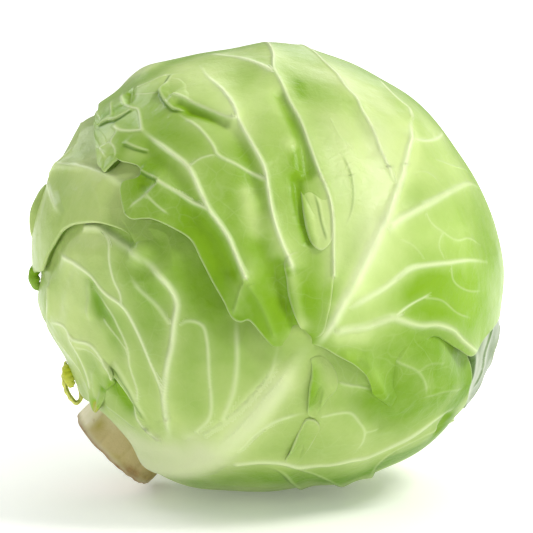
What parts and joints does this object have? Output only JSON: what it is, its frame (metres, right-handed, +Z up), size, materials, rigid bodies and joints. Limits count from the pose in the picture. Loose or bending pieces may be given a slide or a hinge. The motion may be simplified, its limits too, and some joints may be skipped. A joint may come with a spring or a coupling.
{
  "type": "green cabbage",
  "caption": "Whole round head of green cabbage lying on its side: cut stem with its core, a packed heart and large overlapping wrapper leaves with raised veins.",
  "frame": {"origin": "middle of the flat spot that the head rests on", "axes": "+Z up from the surface, -Y towards the viewer of the picture, and the cut stem points down towards -X"},
  "size_m": [0.1706, 0.1673, 0.16],
  "materials": {
    "stem": "cut stem, buff with a brown dried rim",
    "heart": "pale inner leaves",
    "leaf_pale": "waxy pale leaf",
    "leaf_green": "waxy green leaf with pale veins"
  },
  "bodies": {
    "root": {"stem": "stem", "heart": "heart", "leaf_crown": "leaf_pale", "leaf_back": "leaf_green", "leaf_bottom": "leaf_green", "leaf_left": "leaf_green", "leaf_front": "leaf_green"}
  },
  "joints": []
}
